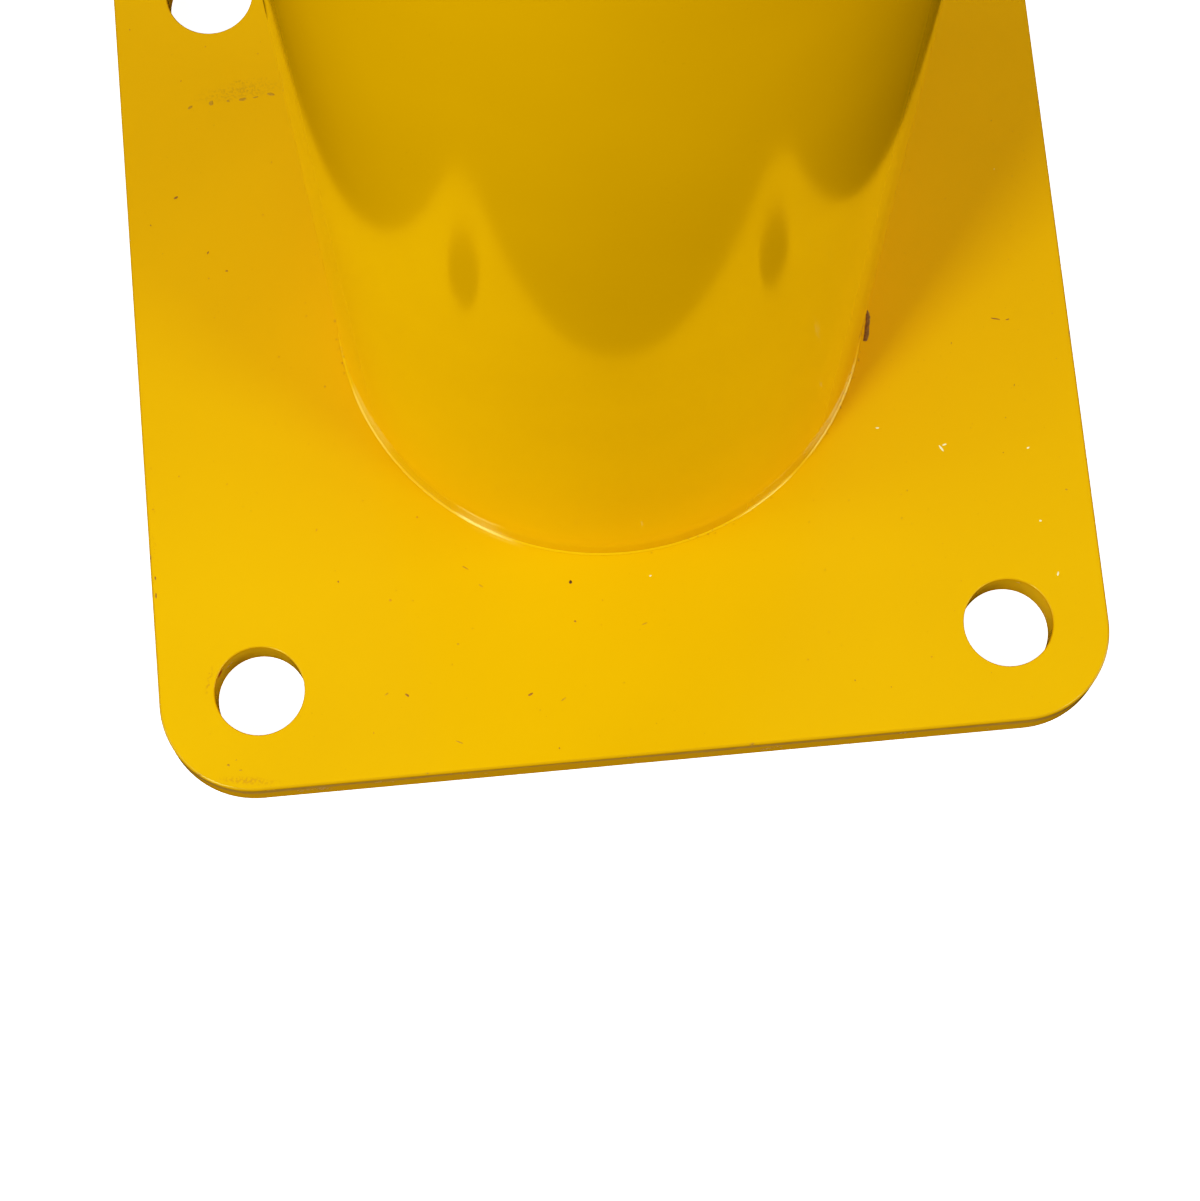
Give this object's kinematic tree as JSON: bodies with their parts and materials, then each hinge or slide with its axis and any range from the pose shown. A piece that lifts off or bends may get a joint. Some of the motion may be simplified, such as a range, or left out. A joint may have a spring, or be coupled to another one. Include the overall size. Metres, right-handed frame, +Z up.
{
  "type": "steel safety bollard",
  "caption": "Round steel pipe bollard welded into a square bolt-down base plate, with a soft domed cap that lifts off its open top.",
  "frame": {"origin": "middle of the base plate's underside, on the floor", "axes": "+Z up along the post; X and Y along the sides of the base plate, with -Y towards the side seen nearest"},
  "size_m": [0.2032, 0.2032, 0.9144],
  "materials": {
    "yellow_enamel": "glossy powder coat over steel",
    "mill_steel": "bare mill-scaled steel",
    "cap_rubber": "matt moulded rubber"
  },
  "bodies": {
    "bollard": {"base_plate": "yellow_enamel", "post_tube": "yellow_enamel", "seam_bead": "mill_steel", "foot_fillet": "yellow_enamel", "root_weld": "yellow_enamel"},
    "cap": {"end_cap": "cap_rubber"}
  },
  "joints": [
    {"name": "cap_lift", "type": "slide", "parent": "bollard", "child": "cap", "axis": [0, 0, 1], "range_m": [0, 0.1]}
  ]
}
